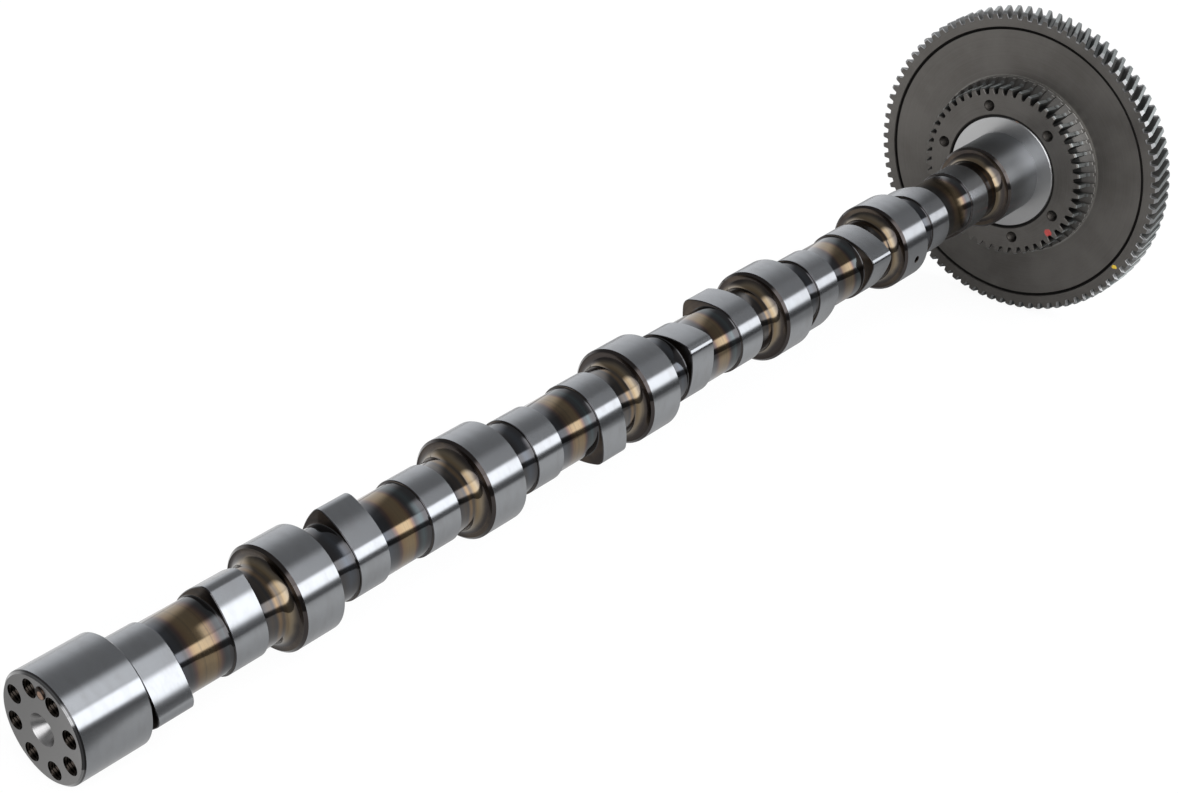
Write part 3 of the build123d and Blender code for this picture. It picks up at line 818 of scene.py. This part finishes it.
# %% Shaft: ground lands and heat-tinted necks
def shaft_finish():
    """Ground steel on lands, tints elsewhere, painted shade in the drilled holes."""
    material, tree, shader = new_material("ground_and_tinted_steel")
    coordinates, x, y, z, radius = place(tree)
    mark = finish_mark(tree)
    ground, tinted, turned, drilled = (is_mark(tree, mark, m) for m in (GROUND, TINTED, TURNED, DRILLED))
    patches = noise(tree, coordinates, 30.0, 4.0, 0.6)
    lines = noise(tree, combined(tree, x, 0.0, 0.0), 2600.0, 2.0, 0.7)
    smears = noise(tree, combined(tree, product(tree, x, 2.2), y, z), 60.0, 4.0, 0.65)
    normal_x = parted(tree, tree.nodes.new("ShaderNodeNewGeometry").outputs["Normal"])[0]
    side_wall = spread(tree, maths(tree, "ABSOLUTE", normal_x), 0.9, 0.98)

    necks = neck_colour(tree, coordinates, x, radius, patches, side_wall)
    colour = mixed(tree, ground, necks, land_colour(tree, x, lines, smears))
    colour = mixed(tree, turned, colour, turned_colour(tree, x, radius))
    # painted shade: the walls of the drilled and tapped holes are near black
    colour = mixed(tree, drilled, colour, (0.022, 0.018, 0.015))
    put(tree, shader.inputs["Base Color"], colour)
    shader.inputs["Metallic"].default_value = 1.0

    satin = spread(tree, x, SEVENTH_X - 0.003, SEVENTH_X, 0.0, 0.09)
    on_turned = product(tree, turned, spread(tree, x, SEVENTH_X - 0.008, SEVENTH_X + 0.002, 0.14, 0.02))
    land_rough = added(tree, product(tree, smears, 0.05), 0.185, satin, on_turned)
    neck_rough = added(tree, product(tree, patches, 0.1), 0.05, product(tree, side_wall, 0.2))
    difference = less(tree, neck_rough, land_rough)
    put(tree, shader.inputs["Roughness"], added(tree, product(tree, tinted, difference), land_rough))
    put(tree, shader.inputs["Coat Weight"], product(tree, tinted, 0.4))
    shader.inputs["Coat Roughness"].default_value = 0.08

    put(tree, shader.inputs["Anisotropic"], product(tree, ground, 0.89))
    shader.inputs["Anisotropic Rotation"].default_value = 0.25
    round_x = tree.nodes.new("ShaderNodeTangent")
    round_x.direction_type = "RADIAL"
    round_x.axis = "X"
    tree.links.new(round_x.outputs["Tangent"], shader.inputs["Tangent"])
    bumped(tree, shader, lines, 0.06, 0.00004)
    return material


# %% [markdown]
# ## The gear's oxide
# A black oxide bath has left the gear dark and nearly dull. Where it was turned afterwards, the steel shows
# again on the chamfers. The tops of the teeth and the ring behind the small gear get painted highlights, and
# the tooth gaps, the run-out, the gap round the flange, the rim groove and the holes get painted shade.
# Painting that by hand would take long. The turned shape tells it, so each zone is a band of
# radii and a stretch along the shaft, held by the same sizes as the mesh.

# %% Gear: dark oxide, dark flanks and bare edges
def gear_finish():
    """Dark oxide with faint turning rings, lighter bare chamfers and two paint marks, painted shade on the
    tooth flanks, in the gaps, the groove and the holes, and painted highlights on the tooth tops and the ring
    behind the small gear.
    """
    material, tree, shader = new_material("oxidised_gear_steel")
    coordinates, x, y, z, radius = place(tree)
    mark = finish_mark(tree)
    flank, bare, drilled = (is_mark(tree, mark, m) for m in (FLANK, BARE, DRILLED))

    def outside(low, high):
        """Rises from 0 to 1 between two radii in millimetres."""
        return spread(tree, radius, low * MM, high * MM)

    def inside(low, high):
        """Falls from 1 to 0 between two radii in millimetres."""
        return spread(tree, radius, low * MM, high * MM, 1.0, 0.0)

    def before(millimetres):
        """1 on the free end's side of a place along the shaft."""
        return maths(tree, "LESS_THAN", x, millimetres * MM)

    def behind(millimetres):
        """1 on the gear's side of a place along the shaft."""
        return maths(tree, "GREATER_THAN", x, millimetres * MM)

    front = before(GEAR_X + 4.0)

    def dab(circle, degrees, millimetres, stretch):
        """1 inside a small uneven spot of paint on the front faces of the gear."""
        turn, size = math.radians(degrees), millimetres * MM
        across = less(tree, y, circle * MM * math.cos(turn))
        up = product(tree, less(tree, z, circle * MM * math.sin(turn)), stretch)
        uneven = product(tree, noise(tree, coordinates, 500.0), size * 0.8)
        away = added(tree, length(tree, across, up), uneven)
        return product(tree, spread(tree, away, size * 1.15, size * 1.5, 1.0, 0.0), front)

    rings = noise(tree, combined(tree, radius, product(tree, x, 0.6), 0.0), 700.0, 3.0, 0.7)
    clouds = noise(tree, coordinates, 22.0, 4.0, 0.6)
    oxide = mixed(tree, spread(tree, clouds, 0.3, 0.7), (0.105, 0.098, 0.090), (0.140, 0.132, 0.122))
    oxide = mixed(tree, spread(tree, rings, 0.35, 0.75, 0.0, 0.18), oxide, (0.19, 0.18, 0.168))
    # painted shade: the tooth flanks are darker than the oxide, for the shade in the gaps
    flank_painted_shade = mixed(tree, spread(tree, clouds, 0.35, 0.65), (0.055, 0.062, 0.062), (0.10, 0.098, 0.092))
    colour = mixed(tree, flank, oxide, flank_painted_shade)
    colour = mixed(tree, bare, colour, grey(0.26))

    # painted highlights on the lands on top of the teeth, painted shade deep in the small gear's gaps
    small_tops_painted_glint = product(tree, before(HUB_X + 15.5), outside(HUB_TIP - 0.8, HUB_TIP - 0.3),
                         behind(HUB_X + 0.4))
    tops_painted_glint = larger(tree, outside(GEAR_TIP - 0.75, GEAR_TIP - 0.25), small_tops_painted_glint)
    colour = mixed(tree, tops_painted_glint, colour, (0.27, 0.285, 0.28))
    # painted shade, near black deep in the small gear's gaps
    depth = product(tree, inside(HUB_TIP - 3.0, HUB_TIP - 1.2), flank)
    colour = mixed(tree, depth, colour, (0.022, 0.022, 0.021))

    # painted shade on the cutter's run-out, and a painted highlight on the ring where it meets the web
    run_out_painted_shade = product(tree, inside(ROOT_RING - 0.8, ROOT_RING - 0.2), behind(HUB_X + FLANK_END), front, 0.6)
    colour = mixed(tree, run_out_painted_shade, colour, (0.05, 0.049, 0.046))
    # painted highlight on the ring behind the small gear
    web_ring_painted_highlight = product(tree, outside(ROOT_RING - 0.7, ROOT_RING - 0.1),
                     inside(ROOT_RING + 0.2, ROOT_RING + 1.8), front, 0.5)
    colour = mixed(tree, web_ring_painted_highlight, colour, (0.34, 0.33, 0.31))

    # painted shade in the gap round the flange and at the bottom of the rim groove
    flange_gap_painted_shade = product(tree, inside(HUB_MOUTH + 0.8, HUB_MOUTH + 1.8), before(HUB_X + 1.5))
    groove_painted_shade = product(tree, outside(RIM_INNER - 2.7, RIM_INNER - 2.1),
                     inside(RIM_INNER - 0.5, RIM_INNER + 0.1), before(GEAR_END - 10.0))
    colour = mixed(tree, larger(tree, flange_gap_painted_shade, groove_painted_shade), colour, (0.012, 0.011, 0.010))
    # painted shade in the hub's tapped holes
    colour = mixed(tree, drilled, colour, (0.05, 0.045, 0.04))

    red = dab(circle=66.6, degrees=-140.0, millimetres=3.6, stretch=1.0)
    yellow = dab(circle=124.6, degrees=-147.7, millimetres=2.7, stretch=1.5)
    colour = mixed(tree, product(tree, red, 0.85), colour, (0.42, 0.03, 0.025))
    colour = mixed(tree, yellow, colour, (0.62, 0.42, 0.03))
    put(tree, shader.inputs["Base Color"], colour)
    paint = larger(tree, red, yellow)
    put(tree, shader.inputs["Metallic"], less(tree, 0.85, product(tree, paint, 0.85)))
    rough = added(tree, product(tree, clouds, 0.22), 0.34)
    put(tree, shader.inputs["Roughness"], less(tree, rough, product(tree, bare, 0.12)))
    bumped(tree, shader, rings, 0.08, 0.00006)
    return material


# %% Pins: hardened and a little straw coloured
def pin_finish():
    """Straw-tinted steel with fine marks; the dowel is dark except for a straw spot near the middle of its
    face.
    """
    material, tree, shader = new_material("pin_steel_finish")
    coordinates, x, y, z, _ = place(tree)
    specks = noise(tree, coordinates, 900.0, 3.0, 0.6)
    spot_y, spot_z = -0.0050, 0.0257
    away = length(tree, less(tree, y, spot_y), less(tree, z, spot_z))
    away = added(tree, away, product(tree, noise(tree, coordinates, 400.0), 0.0008))
    dark_outside_spot = product(tree, spread(tree, away, 0.0024, 0.0033), maths(tree, "LESS_THAN", x, 0.1))
    straw = mixed(tree, specks, (0.34, 0.20, 0.13), (0.66, 0.47, 0.36))
    put(tree, shader.inputs["Base Color"], mixed(tree, dark_outside_spot, straw, (0.035, 0.024, 0.019)))
    shader.inputs["Metallic"].default_value = 1.0
    put(tree, shader.inputs["Roughness"], added(tree, product(tree, specks, 0.2), 0.2))
    return material


# %% Each piece gets its finish
shaft_piece.data.materials.append(shaft_finish())
gear_piece.data.materials.append(gear_finish())
pin_material = pin_finish()
for piece in (dowel_piece, lock_piece):
    piece.data.materials.append(pin_material)
for piece in (shaft_piece, gear_piece, dowel_piece, lock_piece):
    print(piece.name, "has the finish", piece.data.materials[0].name)

# %% [markdown]
# ## Floor, light and camera
# Laid on a flat floor, the shaft rests on the large gear and on its first journal, so the floor
# slopes a little against the shaft. Bare steel shows little but its surroundings. Lamps could
# light it, but each band on a round land is the mirror image of one part of the studio, and a
# band's place is hard to steer with lamps. So the studio is written as one formula in the world:
# a bright strip beside the shaft, a box above it, and a far wall that is white up to some height.
# A round land along X turns the direction of sight only about X, so two numbers tell what
# it shows: the height of the mirrored ray about X, and how far the ray slants along the shaft.

# %% Floor
# its near side runs along the shaft, and the side by the free end is cut off askew
FLOOR_CORNERS = [(0.76, -1.0), (30.0, -1.0), (30.0, 30.0), (-24.04, 30.0)]
lean = math.atan((GEAR_TIP - JOURNAL) / (GEAR_X + GEAR_EDGE - SHOULDER))
corners = [(x, y, -JOURNAL * MM - (x - SHOULDER * MM) * math.tan(lean)) for x, y in FLOOR_CORNERS]
floor_mesh = bpy.data.meshes.new("studio_floor")
floor_mesh.from_pydata(corners, [], [(0, 1, 2, 3)])
floor = bpy.data.objects.new("studio_floor", floor_mesh)
bpy.context.scene.collection.objects.link(floor)
print("floor leans", round(math.degrees(lean), 2), "degrees")


# %% Paint of the floor
def floor_finish():
    """White to the camera and in reflections, with a tenth of matte paint that keeps the shadow.

    Mirrored in the underside of the shaft, the floor darkens towards the line below the shaft and
    towards the gear, which takes its light.
    """
    material, tree, blend = new_material("studio_floor_paint", "ShaderNodeMixShader")
    matte = tree.nodes.new("ShaderNodeBsdfDiffuse")
    put(tree, matte.inputs["Color"], (0.9, 0.9, 0.9))
    glow = tree.nodes.new("ShaderNodeEmission")
    path = tree.nodes.new("ShaderNodeLightPath")
    mirrored = path.outputs["Is Glossy Ray"]
    seen = larger(tree, mirrored, path.outputs["Is Transmission Ray"])
    seen = larger(tree, path.outputs["Is Camera Ray"], seen)

    x, y, _ = parted(tree, tree.nodes.new("ShaderNodeTexCoord").outputs["Object"])
    shade = larger(tree, spread(tree, y, -0.16, 0.08, 0.97, 0.42), spread(tree, y, 0.12, 0.17, 0.42, 1.0))
    shade = product(tree, shade, spread(tree, x, 0.75, 1.0, 1.0, 0.42))
    loss = product(tree, mirrored, less(tree, 1.0, shade))
    put(tree, glow.inputs["Strength"], product(tree, less(tree, 1.0, loss), 1.03))

    put(tree, blend.inputs[0], product(tree, seen, 0.9))
    put(tree, blend.inputs[1], matte.outputs[0])
    put(tree, blend.inputs[2], glow.outputs[0])
    return material


floor_mesh.materials.append(floor_finish())

# %% The studio round the shaft
WALL_TOP, WALL_SINKS, WALL_SLANT = 142.0, 43.0, 0.49
BOX_HEIGHTS, BOX_STRENGTH = (30.0, 42.0, 60.0, 78.0), 2.7
STRIP_HEIGHTS, STRIP_STRENGTH, STRIP_FAR_STRENGTH = (5.0, 12.0, 32.0, 38.0), 3.5, 1.3
WHITE_STRENGTH = 1.05


def studio():
    """World light of a long studio that runs along X, told by the direction in which a ray leaves.

    height = atan2(z, -y): 0 is level on the near side, 90 overhead, 180 level on the far side.
    slant = x / sqrt(y^2 + z^2): how far the ray leans along the shaft.
    """
    world = bpy.data.worlds.new("long_studio")
    bpy.context.scene.world = world
    world.use_nodes = True
    tree = world.node_tree
    x, y, z = parted(tree, tree.nodes.new("ShaderNodeTexCoord").outputs["Generated"])
    slant = maths(tree, "DIVIDE", x, larger(tree, length(tree, y, z), 0.02))
    height = maths(tree, "DEGREES", maths(tree, "ARCTAN2", z, product(tree, y, -1.0)))
    height = added(tree, height, product(tree, maths(tree, "LESS_THAN", height, -90.0), 360.0))

    # the far wall is white up to a height that sinks as the ray leans along the shaft
    wall_top = less(tree, WALL_TOP, product(tree, less(tree, slant, WALL_SLANT), WALL_SINKS))
    wall = spread(tree, less(tree, height, wall_top), -19.0, 17.0, 0.32, 1.2)

    # the overhead box fades away along the shaft, the strip beside the shaft runs nearly all along
    near_end = spread(tree, slant, 0.44, 0.54, 1.0, 0.0)
    box = product(tree, band(tree, height, *BOX_HEIGHTS), near_end, BOX_STRENGTH)
    strip = product(tree, band(tree, height, *STRIP_HEIGHTS),
                    spread(tree, slant, 0.85, 1.7, STRIP_STRENGTH, STRIP_FAR_STRENGTH))
    dim = product(tree, spread(tree, slant, 0.7, 1.2, 0.0, 0.1), spread(tree, height, 75.0, 95.0, 1.0, 0.0))
    underside = spread(tree, height, -2.0, 8.0, 0.14, 0.0)
    light = less(tree, less(tree, added(tree, wall, box, strip), dim), underside)

    # the camera itself sees white
    seen = tree.nodes.new("ShaderNodeLightPath").outputs["Is Camera Ray"]
    light = added(tree, product(tree, light, less(tree, 1.0, seen)), product(tree, seen, WHITE_STRENGTH))
    background = tree.nodes["Background"]
    put(tree, background.inputs["Strength"], light)
    put(tree, background.inputs["Color"], (0.985, 0.995, 1.02))
    return world


print("world:", studio().name)

# %% Camera
CAMERA_PLACE = (-0.4699075, -0.7759131, 0.6775224)
LINE_OF_SIGHT = Vector((0.66957, 0.5636465, -0.4837135))
SENSOR, LENS = 36.0, 62.03
camera_data = bpy.data.cameras.new("view_camera")
camera_data.sensor_width = SENSOR
camera_data.lens = LENS
camera_data.clip_start = 0.01
camera_data.clip_end = 200.0
camera = bpy.data.objects.new("view_camera", camera_data)
bpy.context.scene.collection.objects.link(camera)
camera.location = CAMERA_PLACE
camera.rotation_euler = LINE_OF_SIGHT.to_track_quat("-Z", "Y").to_euler()
bpy.context.scene.camera = camera
bpy.context.scene.view_settings.view_transform = "Standard"
